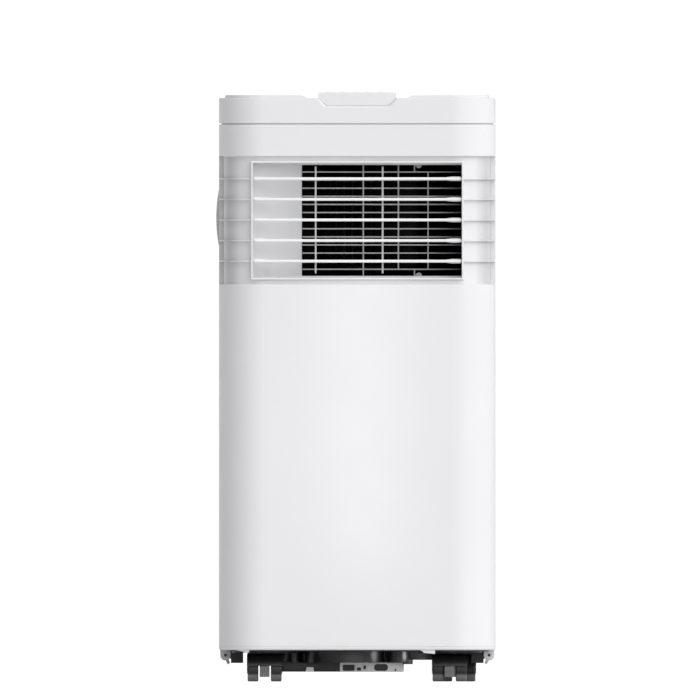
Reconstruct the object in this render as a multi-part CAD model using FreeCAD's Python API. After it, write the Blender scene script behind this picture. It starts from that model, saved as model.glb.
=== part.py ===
"""Portable air conditioner: a tall white cabinet on four twin-wheel casters.

Cool air leaves the front through five linked louvres in a band that wraps round the corners.
Behind them sit a guard and an upright blower. A second blower in the middle of the cabinet
blows warm air out of a round collar in the back. The compressor stands on the base pan.

Frame: millimetres, +Z up, front towards -Y, +X to the right seen from the front.
The origin is on the floor, under the middle of the object's box.
"""

import FreeCAD
import Part
import math
import os

Vector = FreeCAD.Vector

# ---- driving dimensions ------------------------------------------------------------------

HALF_W = 160.0  # the cabinet is 320 wide
FRONT_Y = -150.0
REAR_Y = 138.0
FRONT_R = 50.0  # plan radius of the front corners
REAR_R = 34.0
SHELL_T = 3.0
SPLIT_Y = -20.0  # seam on the sides, front mouldings before it and rear housing behind it

SKIRT_Z = 36.3  # lower edge of the cabinet
BAND_Z0, BAND_Z1 = 459.5, 607.5  # the recessed band that holds the outlet
BAND_INSET = 5.5
SEAM_Z = 644.5
COVER_Z = 646.0
COVER_TOP_Z = 675.3
PLATEAU_Z = 678.8
POD_Z = 681.7  # top of the control panel
LEDGE_T = 2.5

OUTLET_Z = 533.6  # middle of the outlet
OUTLET_HALF_W = 121.0
OUTLET_HALF_H = 66.5
FRAME_T = 2.2
FRAME_BACK_Y = -121.0
THROAT_HALF_H = 64.2  # the duct behind the louvres is a little lower than their frame
THROAT_X0 = -64.0
THROAT_X1 = 121.5
GUARD_Y = -100.0

LOUVRE_COUNT = 5
LOUVRE_PITCH = 23.85
LOUVRE_MID_Z = 534.1
LOUVRE_Y = -139.0  # pivot line
LINK_Y = -131.5  # pins that carry the link bars
LINK_XS = (-48.1, 29.4)
PIVOT_R = 1.6
PIN_R = 1.0
RUNNING = 0.05  # radial clearance of pins and shafts

BLOWER_AT = (14.0, -20.0)
BLOWER_R = 58.0
BLOWER_EYE_R = 46.0
SHAFT_R = 4.0
MOTOR_R = 36.0
DECK_Z = 388.0
DECK_T = 3.0
EXHAUST_Z = 318.0
EXHAUST_R = 66.0
EXHAUST_HOLE_R = 70.0
EXHAUST_REAR_Y = 115.0  # back wall of the condenser blower's housing

WINDOW_HALF_W = 104.0
UPPER_WINDOW = (425.0, 615.0)
LOWER_WINDOW = (70.0, 235.0)

PAN_Z0, PAN_Z1 = 35.0, 41.0
SLAB_Z = 25.0  # underside of the base pan between the casters
WELL_R = 35.5
WELL_Z = 33.5
SOCKET_TOP_Z = 52.0

CASTER_AT = {
    "front_left": (-107.2, -98.0),
    "front_right": (106.8, -98.0),
    "rear_left": (-107.2, 86.0),
    "rear_right": (117.1, 86.0),
}
WHEEL_R = 14.5
WHEEL_X0, WHEEL_X1 = 7.2, 19.7
CHEEK_GAP, CHEEK_T = 0.1, 0.7  # the yoke's side plates, outside the wheels
MIDDLE_HALF_W = 5.7
TRAIL = 8.0  # the wheels' axis stands this far in front of the stem
AXLE_R = 2.0
STEM_R = 4.5

HANDLE_Y, HANDLE_Z = 55.0, 536.5
HANDLE_HALF_L, HANDLE_HALF_H = 56.0, 33.5
HANDLE_RISE = 3.2

BUTTONS = {
    "power_button": -30.0,
    "mode_button": -15.0,
    "fan_speed_button": 0.0,
    "temperature_down_button": 15.0,
    "temperature_up_button": 30.0,
}
BUTTON_Y = -112.0
BUTTON_R = 4.8

DRAIN_PORTS = {"upper_drain_plug": (-100.0, 408.0), "lower_drain_plug": (-90.0, 54.0)}
DRAIN_R = 6.3
GLAND_AT = (112.0, 54.0)
HOOK_ZS = (120.0, 200.0)
TAB_HOLE = (152.5, 30.4)
TAB_HOLE_R = 1.7
TAB_HALF_W = 6.1

# ---- drawing helpers ---------------------------------------------------------------------

Z_AXIS = Vector(0, 0, 1)
FAR = 1000.0


def block(x, y, z):
    """Box from three (low, high) pairs."""
    return Part.makeBox(x[1] - x[0], y[1] - y[0], z[1] - z[0], Vector(x[0], y[0], z[0]))


def rod(start, end, radius):
    """Cylinder from one point to another."""
    start, end = Vector(*start), Vector(*end)
    return Part.makeCylinder(radius, (end - start).Length, start, end - start)


def cone(start, end, radius_start, radius_end):
    start, end = Vector(*start), Vector(*end)
    return Part.makeCone(radius_start, radius_end, (end - start).Length, start, end - start)


def fuse(*shapes):
    return shapes[0].multiFuse(list(shapes[1:])).removeSplitter()


def cut(shape, *tools):
    return shape.cut(list(tools)).removeSplitter()


def outline(corners):
    """Face in the XY plane from corners (x, y, radius), in order round it."""
    places = [Vector(x, y, 0) for x, y, _ in corners]
    turns = []
    for i, (_, _, radius) in enumerate(corners):
        here = places[i]
        back = (places[i - 1] - here).normalize()
        ahead = (places[(i + 1) % len(places)] - here).normalize()
        if radius == 0:
            turns.append((here, here, None))
            continue
        half = back.getAngle(ahead) / 2
        reach = radius / math.tan(half)
        inward = (back + ahead).normalize()
        middle = here + inward * (radius / math.sin(half) - radius)
        start, end = here + back * reach, here + ahead * reach
        turns.append((start, end, Part.Arc(start, middle, end).toShape()))
    edges = []
    for i, (_, leave, _) in enumerate(turns):
        arrive, _, arc = turns[(i + 1) % len(turns)]
        if (arrive - leave).Length > 1e-6:
            edges.append(Part.makeLine(leave, arrive))
        if arc:
            edges.append(arc)
    return Part.Face(Part.Wire(edges))


def prism(face, z0, z1):
    """A plan face raised from z0 to z1."""
    lifted = face.translated(Vector(0, 0, z0))
    return lifted.extrude(Vector(0, 0, z1 - z0))


def stood_at(face, y):
    """A face drawn as (x, z), stood up at y."""
    return face.rotated(Vector(), Vector(1, 0, 0), 90).translated(Vector(0, y, 0))


def along_y(face, y0, y1):
    """A face drawn as (x, z), carried from y0 to y1."""
    return stood_at(face, y0).extrude(Vector(0, y1 - y0, 0))


def along_x(face, x0, x1):
    """A face drawn as (y, z), carried from x0 to x1."""
    stood = face.rotated(Vector(), Vector(1, 1, 1), 120).translated(Vector(x0, 0, 0))
    return stood.extrude(Vector(x1 - x0, 0, 0))


def body_plan(inset):
    """The cabinet's rounded plan, drawn in by inset."""
    x = HALF_W - inset
    front, rear = FRONT_Y + inset, REAR_Y - inset
    front_r, rear_r = FRONT_R - inset, REAR_R - inset
    return outline(
        [(-x, front, front_r), (x, front, front_r), (x, rear, rear_r), (-x, rear, rear_r)]
    )


def before(y):
    return block((-FAR, FAR), (-FAR, y), (-FAR, FAR))


def beyond(y):
    return block((-FAR, FAR), (y, FAR), (-FAR, FAR))


def wall(outer, inner, z0, z1):
    """Upright ring between two insets of the body plan."""
    return prism(body_plan(outer), z0, z1).cut(prism(body_plan(inner), z0, z1))


def front_wall(outer, inner, z0, z1):
    return wall(outer, inner, z0, z1).cut(beyond(SPLIT_Y))


def rear_wall(outer, inner, z0, z1):
    return wall(outer, inner, z0, z1).cut(before(SPLIT_Y))


def skin_edges(shape, z, reach=0.05):
    """Edges at height z that lie on the cabinet's outer skin."""
    skin = prism(body_plan(reach), z - 1, z + 1)
    found = []
    for edge in shape.Edges:
        box = edge.BoundBox
        if abs(box.ZMin - z) > 0.01 or abs(box.ZMax - z) > 0.01:
            continue
        middle = edge.valueAt((edge.FirstParameter + edge.LastParameter) / 2)
        at_seam = abs(box.YMax - SPLIT_Y) < 0.01 and box.YLength < 0.01
        if not at_seam and not skin.isInside(middle, 1e-4, True):
            found.append(edge)
    return found


def louvre_z(index):
    """Height of a louvre's pivot, louvre 0 at the top."""
    return LOUVRE_MID_Z + (LOUVRE_COUNT // 2 - index) * LOUVRE_PITCH


def mirrored(shape):
    return shape.mirror(Vector(), Vector(1, 0, 0))


# ---- cabinet -----------------------------------------------------------------------------

FLANGE_INSET = 7.0


BEAD_Z = (39.9, 40.4)  # fine groove that runs round above the lower edge
BEAD_DEPTH = 0.3


def front_panel():
    """Lower front shell, with a bottom flange and clips that hang inside its lower edge."""
    skin = front_wall(0, SHELL_T, SKIRT_Z, BAND_Z0)
    bottom = front_wall(SHELL_T, FLANGE_INSET, SKIRT_Z, SKIRT_Z + LEDGE_T)
    ledge = front_wall(SHELL_T, BAND_INSET, BAND_Z0 - LEDGE_T, BAND_Z0)
    shell = fuse(skin, bottom, ledge)
    shell = shell.makeFillet(2.4, skin_edges(shell, SKIRT_Z))
    shell = shell.makeFillet(1.0, skin_edges(shell, BAND_Z0))
    shell = shell.cut(front_wall(0, BEAD_DEPTH, *BEAD_Z))
    top = SKIRT_Z + 1
    right = [(70, top, 0), (76, 34.6, 0), (77, 33, 0), (90, 31.8, 0), (90, top, 0)]
    left = [(-144, top, 0), (-144, 37, 0), (-136, 35.2, 0), (-125, 33.4, 0), (-125, top, 0)]
    return fuse(shell, hanging_clip(right), hanging_clip(left))


def hanging_clip(corners):
    """Fin that follows the shell's inside, cut to a shape drawn as (x, z)."""
    ring = front_wall(SHELL_T, FLANGE_INSET - 0.4, 30.0, SKIRT_Z + 1)
    return ring.common(along_y(outline(corners), FRONT_Y, SPLIT_Y))


def upper_fascia():
    """Plain strip of the front above the outlet band."""
    skin = front_wall(0, SHELL_T, BAND_Z1, SEAM_Z)
    ledge = front_wall(SHELL_T, BAND_INSET, BAND_Z1, BAND_Z1 + LEDGE_T)
    shell = fuse(skin, ledge)
    shell = shell.makeFillet(1.2, skin_edges(shell, BAND_Z1))
    return shell.makeFillet(1.0, skin_edges(shell, SEAM_Z))


def outlet_surround():
    """Recessed band with its ribs, and the frame that carries the louvres."""
    band = wall(BAND_INSET, BAND_INSET + FRAME_T, BAND_Z0 - 6, BAND_Z1 + 6)
    band = band.cut(beyond(SPLIT_Y + 6))
    outer_x, outer_h = OUTLET_HALF_W + FRAME_T, OUTLET_HALF_H + FRAME_T
    z0, z1 = OUTLET_Z - outer_h, OUTLET_Z + outer_h
    frame = block((-outer_x, outer_x), (FRONT_Y + 0.4, FRAME_BACK_Y), (z0, z1))
    frame = frame.makeFillet(
        0.8, [e for e in frame.Edges if e.BoundBox.YMax < FRONT_Y + 0.5]
    )
    ribs = []
    gap = block((-outer_x + 1, outer_x - 1), (FRONT_Y - 1, FRAME_BACK_Y), (z0, z1))
    for index in range(LOUVRE_COUNT):
        z = louvre_z(index)
        ribs.append(front_wall(0.4, BAND_INSET + 0.5, z - 1.0, z + 1.0).cut(gap))
    opening = block(
        (-OUTLET_HALF_W, OUTLET_HALF_W),
        (FRONT_Y - 1, FRAME_BACK_Y + 1),
        (OUTLET_Z - OUTLET_HALF_H, OUTLET_Z + OUTLET_HALF_H),
    )
    bores = []
    for index in range(LOUVRE_COUNT):
        end = outer_x + 1.5
        centre = (LOUVRE_Y, louvre_z(index))
        bores.append(rod((-end, *centre), (end, *centre), PIVOT_R + RUNNING))
    return cut(fuse(band, frame, *ribs), opening, *bores)


def rear_housing():
    """Back and rear sides of the cabinet, with windows for the grilles, collar and handles."""
    skin = rear_wall(0, SHELL_T, SKIRT_Z, SEAM_Z)
    bottom = rear_wall(SHELL_T, FLANGE_INSET, SKIRT_Z, SKIRT_Z + LEDGE_T)
    step = rear_wall(SHELL_T, BAND_INSET, BAND_Z0 - LEDGE_T, BAND_Z1 + LEDGE_T)
    step = step.cut(beyond(SPLIT_Y + LEDGE_T))
    shell = fuse(skin, bottom, step)
    shell = shell.makeFillet(2.4, skin_edges(shell, SKIRT_Z))
    shell = shell.makeFillet(1.0, skin_edges(shell, SEAM_Z))
    through = (REAR_Y - SHELL_T - 1, REAR_Y + 1)
    holes = [
        block((-WINDOW_HALF_W, WINDOW_HALF_W), through, UPPER_WINDOW),
        block((-WINDOW_HALF_W, WINDOW_HALF_W), through, LOWER_WINDOW),
        rod((0, through[0], EXHAUST_Z), (0, through[1], EXHAUST_Z), EXHAUST_HOLE_R),
        rod((GLAND_AT[0], through[0], GLAND_AT[1]), (GLAND_AT[0], through[1], GLAND_AT[1]), 8.0),
        handle_cup_void(0.4),
        mirrored(handle_cup_void(0.4)),
    ]
    ports = []
    for x, z in DRAIN_PORTS.values():
        ports.append(rod((x, REAR_Y - 14, z), (x, REAR_Y + 1.5, z), DRAIN_R + 2.5))
        holes.append(rod((x, REAR_Y - 15, z), (x, REAR_Y + 2, z), DRAIN_R))
    tabs = [screw_tab(), mirrored(screw_tab()), guide_fin(), mirrored(guide_fin())]
    return cut(fuse(shell, *ports, *tabs), *holes)


def guide_fin():
    """Fin that hangs behind the right-hand lug of the base and keeps it in place."""
    top = SKIRT_Z + 1
    face = outline([(153.5, top, 0), (147.2, 21.5, 1.0), (149.8, 19.2, 1.2), (158.5, top, 0)])
    return along_y(face, SPLIT_Y + 25, SPLIT_Y + 27.5)


def screw_tab():
    """Lug that hangs below the right-hand side wall and takes a screw from the front."""
    x, z = TAB_HOLE
    half = TAB_HALF_W
    bottom, top = z - half, SKIRT_Z + 1
    face = outline(
        [(x - half, top, 0), (x - half, bottom, half - 0.1), (x + half, bottom, half - 0.1),
         (x + half, top, 0)]
    )
    tab = along_y(face, SPLIT_Y, SPLIT_Y + 3)
    return tab.cut(rod((x, SPLIT_Y - 1, z), (x, SPLIT_Y + 4, z), TAB_HOLE_R))


def handle_plan(grow):
    """The handle pocket's stadium shape, drawn as (y, z)."""
    half_l, half_h = 42.0 + grow, 21.0 + grow
    y0, y1 = HANDLE_Y - half_l, HANDLE_Y + half_l
    z0, z1 = HANDLE_Z - half_h, HANDLE_Z + half_h
    r = half_h - 0.1
    return outline([(y0, z0, r), (y1, z0, r), (y1, z1, r), (y0, z1, r)])


def handle_cup_void(grow):
    """The right-hand cut-out in the side wall that the handle cup passes through."""
    return along_x(handle_plan(2.0 + grow), HALF_W - SHELL_T - 1, HALF_W + 1)


def domed_rim():
    """Oval grip that swells out of the right-hand wall."""
    dome_r = (HANDLE_HALF_H**2 + HANDLE_RISE**2) / (2 * HANDLE_RISE)
    centre_x = HALF_W + HANDLE_RISE - dome_r
    y0, y1 = HANDLE_Y - HANDLE_HALF_L, HANDLE_Y + HANDLE_HALF_L
    z0, z1 = HANDLE_Z - HANDLE_HALF_H, HANDLE_Z + HANDLE_HALF_H
    corner = HANDLE_HALF_H - 1.0
    rim_face = outline([(y0, z0, corner), (y1, z0, corner), (y1, z1, corner), (y0, z1, corner)])
    rim = along_x(rim_face, HALF_W, HALF_W + HANDLE_RISE)
    dome = rod((centre_x, y0, HANDLE_Z), (centre_x, y1, HANDLE_Z), dome_r)
    return rim.common(dome)


def inner_flange():
    """Flange that holds a flush handle cup from inside the right-hand wall."""
    wall_x = HALF_W - SHELL_T
    return along_x(handle_plan(6.0), wall_x - 2.0, wall_x)


def side_handle(rim):
    """Right-hand handle: a cup to put the fingers in, with the rim that holds it."""
    cup = along_x(handle_plan(2.0), HALF_W - 27.0, HALF_W)
    pocket = along_x(handle_plan(0.0), HALF_W - 25.0, HALF_W + 10.0)
    return cut(fuse(rim, cup), pocket)


CHANNEL = ((-64.5, -57.5), (57.5, 64.5))  # top and floor of its two sloped ends
POD_HALF_W = 45.0
POD_Y0 = FRONT_Y + 1.2  # the control panel stands back behind the cover's bevelled notch
LIP_BACK_Y = FRONT_Y + SHELL_T + 0.3
LIP_GAP = 0.2
LIP_BEVEL = 2.4
POD_REAR_Y = -62.0


def lip_face(grow):
    """The control panel's lip on the front edge, a trapezoid drawn as (x, z)."""
    top, low = POD_HALF_W + grow, 36.0 + grow * 0.8
    floor = 666.3 - grow
    return outline(
        [(-top, POD_Z + 3, 0), (-top, COVER_TOP_Z - 0.3, 1.0), (-low, floor, 2.5),
         (low, floor, 2.5), (top, COVER_TOP_Z - 0.3, 1.0), (top, POD_Z + 3, 0)]
    )


def lip_seat():
    """Cutter for the lip's notch in the cover: a bevel inwards, then a straight pocket."""
    wide = stood_at(lip_face(LIP_BEVEL), FRONT_Y - 0.01).OuterWire
    deep = stood_at(lip_face(LIP_GAP), POD_Y0).OuterWire
    bevel = Part.makeLoft([wide, deep], True, True)
    return fuse(bevel, along_y(lip_face(LIP_GAP), POD_Y0 - 0.1, LIP_BACK_Y + 0.3))


def top_cover():
    """Lid of the cabinet, with a raised plateau and a channel for the control panel."""
    bulk = prism(body_plan(0), COVER_Z, COVER_TOP_Z)
    bulk = bulk.makeFillet(1.5, skin_edges(bulk, COVER_TOP_Z))
    plateau = prism(body_plan(7.0), COVER_TOP_Z - 1, PLATEAU_Z)
    plateau = plateau.makeFillet(
        1.4, [e for e in plateau.Edges if e.BoundBox.ZMin > PLATEAU_Z - 0.1]
    )
    (left_top, left_floor), (right_floor, right_top) = CHANNEL
    slope = PLATEAU_Z - COVER_TOP_Z
    rise = (right_top - right_floor) / slope
    channel = along_y(
        outline(
            [(left_floor, COVER_TOP_Z, 0), (right_floor, COVER_TOP_Z, 0),
             (right_top + rise * 3, PLATEAU_Z + 3, 0), (left_top - rise * 3, PLATEAU_Z + 3, 0)]
        ),
        FRONT_Y - 1,
        REAR_Y + 1,
    )
    hollow = prism(body_plan(SHELL_T), COVER_Z - 1, COVER_TOP_Z - SHELL_T)
    raised_hollow = prism(body_plan(7.0 + SHELL_T), COVER_TOP_Z - 4, PLATEAU_Z - SHELL_T)
    skirt = wall(SHELL_T, SHELL_T + 2.0, COVER_Z - 8, COVER_Z + 4)
    board_well = block((-40, 40), (-139, -67), (COVER_Z, COVER_TOP_Z + 1))
    lid = cut(fuse(bulk, plateau), channel, hollow)
    floor_keep = prism(body_plan(7.0 + SHELL_T), COVER_TOP_Z - SHELL_T, COVER_TOP_Z)
    keep = floor_keep.common(
        block((left_top, right_top), (FRONT_Y, REAR_Y), (COVER_Z, COVER_TOP_Z))
    )
    lid = cut(lid, raised_hollow.cut(keep))
    return cut(fuse(lid, skirt), board_well, lip_seat())


def control_panel():
    """Panel that stands in the cover's channel and folds over its front edge as a lip."""
    rear_r = 7.0
    plan = outline(
        [(-POD_HALF_W, POD_Y0, 0), (POD_HALF_W, POD_Y0, 0),
         (POD_HALF_W, POD_REAR_Y, rear_r), (-POD_HALF_W, POD_REAR_Y, rear_r)]
    )
    inner = POD_HALF_W - 2.0
    inner_plan = outline(
        [(-inner, POD_Y0 + 3, 0), (inner, POD_Y0 + 3, 0),
         (inner, POD_REAR_Y - 2, rear_r - 2), (-inner, POD_REAR_Y - 2, rear_r - 2)]
    )
    bulk = prism(plan, COVER_TOP_Z, POD_Z)
    lip = along_y(lip_face(0.0), POD_Y0, LIP_BACK_Y)
    lip = lip.cut(block((-FAR, FAR), (-FAR, FAR), (POD_Z, FAR)))
    pod = fuse(bulk, lip)
    top = [e for e in pod.Edges if e.BoundBox.ZMin > POD_Z - 0.01]
    pod = pod.makeFillet(1.0, top)
    hollow = prism(inner_plan, COVER_TOP_Z - 1, POD_Z - 2.5)
    holes = [button_hole(x) for x in BUTTONS.values()]
    window = prism(display_plan(0.2), POD_Z - 1.2, POD_Z + 1)
    light = prism(display_plan(-1.5), POD_Z - 4, POD_Z)
    posts = [
        rod((x, y, 669.6), (x, y, POD_Z - 2.0), 2.2) for x in (-36.5, 36.5) for y in (-134, -72)
    ]
    return fuse(cut(pod, hollow, window, light, *holes), *posts)


def button_hole(x):
    return rod((x, BUTTON_Y, POD_Z - 4), (x, BUTTON_Y, POD_Z + 1), BUTTON_R + 0.35)


def display_plan(grow):
    half_w, y0, y1, r = 20.0 + grow, -92.0 - grow, -76.0 + grow, 3.0
    return outline([(-half_w, y0, r), (half_w, y0, r), (half_w, y1, r), (-half_w, y1, r)])


def display_lens():
    return prism(display_plan(0.0), POD_Z - 1.2, POD_Z - 0.1)


def control_board():
    """Printed board under the panel, with a switch under each button and a display block."""
    parts = [block((-39, 39), (-138, -68), (668.0, 669.6))]
    for x in BUTTONS.values():
        parts.append(block((x - 3, x + 3), (BUTTON_Y - 3, BUTTON_Y + 3), (669.6, 672.4)))
        parts.append(rod((x, BUTTON_Y, 672.4), (x, BUTTON_Y, 673.2), 1.7))
    parts.append(block((-17, 17), (-90, -78), (669.6, 677.5)))
    return fuse(*parts)


def push_button(x):
    """Round cap with a retaining flange, a stem above its switch and a dished top."""
    cap = rod((x, BUTTON_Y, 677.0), (x, BUTTON_Y, POD_Z + 0.6), BUTTON_R)
    rim = [e for e in cap.Edges if e.BoundBox.ZMin > POD_Z + 0.5]
    cap = cap.makeFillet(0.6, rim)
    flange = rod((x, BUTTON_Y, 676.6), (x, BUTTON_Y, 678.0), BUTTON_R + 1.2)
    stem = rod((x, BUTTON_Y, 674.4), (x, BUTTON_Y, 677.0), 1.6)
    dish_r = 30.0
    dish = Part.makeSphere(dish_r, Vector(x, BUTTON_Y, POD_Z + 0.25 + dish_r))
    return cut(fuse(cap, flange, stem), dish)


# ---- louvres, duct and guard -------------------------------------------------------------


def louvre(index):
    """Blade on two end pivots, notched at the back for the link bars and their pins."""
    z = louvre_z(index)
    nose, tail = (-147.3, 1.7), (-129.8, 0.8)
    run = tail[0] - nose[0]
    slope = math.asin((nose[1] - tail[1]) / run)
    lift, set_back = math.cos(slope), math.sin(slope)
    points = [
        Vector(y + r * set_back, z + side * r * lift, 0)
        for y, r, side in ((*nose, 1), (*tail, 1), (*tail, -1), (*nose, -1))
    ]
    profile = Part.Wire(
        [
            Part.makeLine(points[0], points[1]),
            Part.Arc(points[1], Vector(tail[0] + tail[1], z, 0), points[2]).toShape(),
            Part.makeLine(points[2], points[3]),
            Part.Arc(points[3], Vector(nose[0] - nose[1], z, 0), points[0]).toShape(),
        ]
    )
    blade_end = OUTLET_HALF_W - 1.5
    shapes = [along_x(Part.Face(profile), -blade_end, blade_end)]
    for side in (-1, 1):
        centre = (LOUVRE_Y, z)
        pin_end = OUTLET_HALF_W + 1.8
        shapes.append(rod((side * 110, *centre), (side * blade_end, *centre), 2.7))
        shapes.append(cone((side * 98, *centre), (side * 110, *centre), 1.2, 2.7))
        shapes.append(rod((side * (blade_end - 1), *centre), (side * pin_end, *centre), PIVOT_R))
    notches = [
        block((x - 2.6, x + 2.6), (-136.4, -127.0), (z - 4, z + 4)) for x in LINK_XS
    ]
    pins = [rod((x - 3.0, LINK_Y, z), (x + 3.0, LINK_Y, z), PIN_R) for x in LINK_XS]
    return fuse(cut(fuse(*shapes), *notches), *pins)


def link_bars():
    """Two flat bars that snap over the louvres' pins and make them tilt together."""
    bars = []
    for x in LINK_XS:
        half_w, half_d = 1.0, 2.2
        y0, y1 = LINK_Y - half_d, LINK_Y + half_d
        face = outline(
            [(y0, 472.0, half_d - 0.1), (y1, 472.0, half_d - 0.1),
             (y1, 596.0, half_d - 0.1), (y0, 596.0, half_d - 0.1)]
        )
        bar = along_x(face, x - half_w, x + half_w)
        holes = [
            rod((x - 3, LINK_Y, louvre_z(i)), (x + 3, LINK_Y, louvre_z(i)), PIN_R + RUNNING)
            for i in range(LOUVRE_COUNT)
        ]
        bars.append(bar.cut(holes))
    return Part.makeCompound(bars)


def outlet_duct():
    """Throat behind the louvres. Its left wall slants in to the blower's narrower mouth."""
    frame_x, frame_h = OUTLET_HALF_W + FRAME_T, OUTLET_HALF_H + FRAME_T
    low, high = OUTLET_Z - THROAT_HALF_H, OUTLET_Z + THROAT_HALF_H
    back = GUARD_Y
    slant = (THROAT_X0 + OUTLET_HALF_W) / (back - FRAME_BACK_Y)

    def left(y):
        return -OUTLET_HALF_W + slant * (y - FRAME_BACK_Y)

    skin = 2.0
    across = skin * math.hypot(1, slant)
    outer = outline(
        [(left(FRAME_BACK_Y) - across, FRAME_BACK_Y, 0), (THROAT_X1 + skin, FRAME_BACK_Y, 0),
         (THROAT_X1 + skin, back, 0), (left(back) - across, back, 0)]
    )
    inner = outline(
        [(left(FRAME_BACK_Y - 1), FRAME_BACK_Y - 1, 0), (THROAT_X1, FRAME_BACK_Y - 1, 0),
         (THROAT_X1, back + 1, 0), (left(back + 1), back + 1, 0)]
    )
    funnel = prism(outer, low - skin, high + skin)
    flange = block(
        (-frame_x, frame_x),
        (FRAME_BACK_Y, FRAME_BACK_Y + skin),
        (OUTLET_Z - frame_h, OUTLET_Z + frame_h),
    )
    trimmed = fuse(funnel.common(block((-frame_x, frame_x), (-FAR, FAR), (0, FAR))), flange)
    duct = cut(trimmed, prism(inner, low, high))
    gusset = along_y(
        outline([(-106.4, low, 0), (-100.9, low, 0), (-101.8, low + 8, 0), (-103.8, low + 8, 0)]),
        FRAME_BACK_Y + 4.5,
        FRAME_BACK_Y + 9.5,
    )
    return fuse(duct, gusset)


def guard_strip(depth):
    """Plan of the guard's wires: straight on the left, curving back on the right."""
    bend_x, radius = 60.0, 80.0
    reach = THROAT_X1 - 0.5 - bend_x

    def end(r):
        return Vector(THROAT_X1 - 0.5, GUARD_Y + radius - math.sqrt(r**2 - reach**2), 0)

    def middle(r):
        angle = math.asin(reach / r) / 2
        return Vector(bend_x + r * math.sin(angle), GUARD_Y + radius - r * math.cos(angle), 0)

    outer, inner = radius, radius - depth
    start = THROAT_X0 + 0.5
    front_arc = Part.Arc(Vector(bend_x, GUARD_Y, 0), middle(outer), end(outer)).toShape()
    rear_arc = Part.Arc(end(inner), middle(inner), Vector(bend_x, GUARD_Y + depth, 0)).toShape()
    edges = [
        Part.makeLine(Vector(start, GUARD_Y, 0), Vector(bend_x, GUARD_Y, 0)),
        front_arc,
        Part.makeLine(end(outer), end(inner)),
        rear_arc,
        Part.makeLine(Vector(bend_x, GUARD_Y + depth, 0), Vector(start, GUARD_Y + depth, 0)),
        Part.makeLine(Vector(start, GUARD_Y + depth, 0), Vector(start, GUARD_Y, 0)),
    ]
    return Part.Face(Part.Wire(edges))


GUARD_WIRES = 13
GUARD_PITCH = 9.38
GUARD_DEPTH = 3.0


def outlet_guard():
    """Finger guard in the blower's mouth: thirteen wires across and a few posts."""
    low, high = OUTLET_Z - THROAT_HALF_H + 0.2, OUTLET_Z + THROAT_HALF_H - 0.2
    top_wire = OUTLET_Z + (GUARD_WIRES - 1) / 2 * GUARD_PITCH - 0.3
    bottom_wire = top_wire - (GUARD_WIRES - 1) * GUARD_PITCH
    half = 0.75
    strip = guard_strip(GUARD_DEPTH)
    wires = [
        prism(strip, top_wire - i * GUARD_PITCH - half, top_wire - i * GUARD_PITCH + half)
        for i in range(GUARD_WIRES)
    ]
    spans = [
        (7.0, low, high),
        (47.6, bottom_wire, high),
        (66.2, top_wire, high),
        (66.2, low, bottom_wire),
        (81.9, bottom_wire, top_wire),
    ]
    posts = [
        prism(strip, z0, z1).common(block((x - half, x + half), (-FAR, FAR), (z0, z1)))
        for x, z0, z1 in spans
    ]
    bosses = []
    for z, inward in ((low, 1), (high, -1)):
        boss = rod((71.2, GUARD_Y + 0.5, z), (71.2, GUARD_Y + GUARD_DEPTH, z), 3.6)
        bosses.append(boss.common(block((0, FAR), (-FAR, FAR), (low, high))))
        web = block((66.2, 71.2), (GUARD_Y + 1, GUARD_Y + 3), sorted((z, z + inward * 1.5)))
        bosses.append(web)
    return fuse(*wires, *posts, *bosses)


# ---- blowers -----------------------------------------------------------------------------


def blower_wheel(base_z, height, shaft_z, plate_on_top):
    """Squirrel-cage wheel on its shaft. The back plate is at the motor's end."""
    x, y = BLOWER_AT
    top_z = base_z + height
    ring = rod((x, y, base_z), (x, y, base_z + 3), BLOWER_R)
    plate = rod((x, y, top_z - 3), (x, y, top_z), BLOWER_R)
    hub = rod((x, y, top_z - 18), (x, y, top_z), 10.0)
    if not plate_on_top:
        ring = ring.translated(Vector(0, 0, height - 3))
        plate = plate.translated(Vector(0, 0, 3 - height))
        hub = hub.translated(Vector(0, 0, 18 - height))
    ring = ring.cut(rod((x, y, base_z - 1), (x, y, top_z + 1), BLOWER_EYE_R))
    shaft = rod((x, y, shaft_z[0]), (x, y, shaft_z[1]), SHAFT_R)
    blade_count = 32
    blade = block((BLOWER_EYE_R + 0.6, BLOWER_R - 0.8), (-0.7, 0.7), (base_z + 1, top_z - 1))
    mid_r = (BLOWER_EYE_R + BLOWER_R) / 2
    blade = blade.rotated(Vector(mid_r, 0, 0), Z_AXIS, 28)
    blades = [
        blade.rotated(Vector(), Z_AXIS, i * 360.0 / blade_count).translated(Vector(x, y, 0))
        for i in range(blade_count)
    ]
    return fuse(ring, plate, hub, shaft, *blades)


def blower_motor(z0, z1, mouth_up):
    """Motor can with cooling lip and a blind bore for the blower's shaft."""
    x, y = BLOWER_AT
    can = rod((x, y, z0), (x, y, z1), MOTOR_R)
    can = can.makeFillet(4.0, [e for e in can.Edges if e.BoundBox.ZLength < 0.1])
    mouth = z1 if mouth_up else z0
    inner = mouth - 20 if mouth_up else mouth + 20
    bore = rod((x, y, min(mouth, inner)), (x, y, max(mouth, inner)), SHAFT_R + RUNNING)
    lip_z = (z0 + z1) / 2
    lip = rod((x, y, lip_z - 1), (x, y, lip_z + 1), MOTOR_R + 3)
    return cut(fuse(can, lip), bore)


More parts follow.
